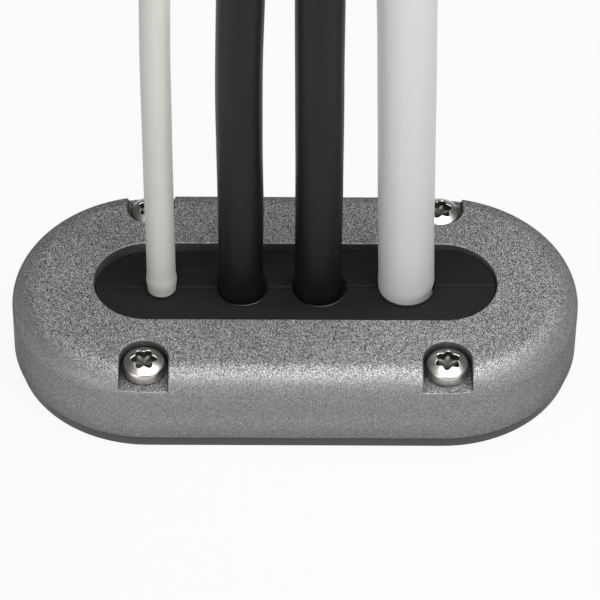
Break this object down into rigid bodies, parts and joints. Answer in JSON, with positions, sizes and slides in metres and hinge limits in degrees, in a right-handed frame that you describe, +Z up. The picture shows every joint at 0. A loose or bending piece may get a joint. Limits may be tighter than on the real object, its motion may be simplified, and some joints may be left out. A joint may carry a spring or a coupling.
{
  "type": "deck cable seal",
  "caption": "Racetrack-shaped cast cover screwed down over a split rubber seal, which grips cables where they pass upright through a deck.",
  "frame": {"origin": "centre of the four screws, in the plane of the deck that the base gasket lies on", "axes": "+X along the seal, from the thin cable to the thick one, +Y away from the viewer of the picture, +Z up from the deck along the cables"},
  "size_m": [0.132, 0.0646, 0.1318],
  "materials": {
    "cast_cover": "fine metallic grain, satin",
    "seal_rubber": "moulded, matte",
    "gasket_rubber": "moulded, smooth",
    "stainless": "polished stainless steel",
    "jacket_grey": "smooth extruded jacket",
    "jacket_black": "smooth extruded jacket",
    "jacket_white": "smooth extruded jacket"
  },
  "bodies": {
    "root": {"deck_cover": "cast_cover", "seal_front_half": "seal_rubber", "seal_back_half": "seal_rubber", "base_gasket": "gasket_rubber", "cover_screws": "stainless", "cable_thin_grey": "jacket_grey", "cable_black_left": "jacket_black", "cable_black_right": "jacket_black", "cable_thick_white": "jacket_white"}
  },
  "joints": []
}
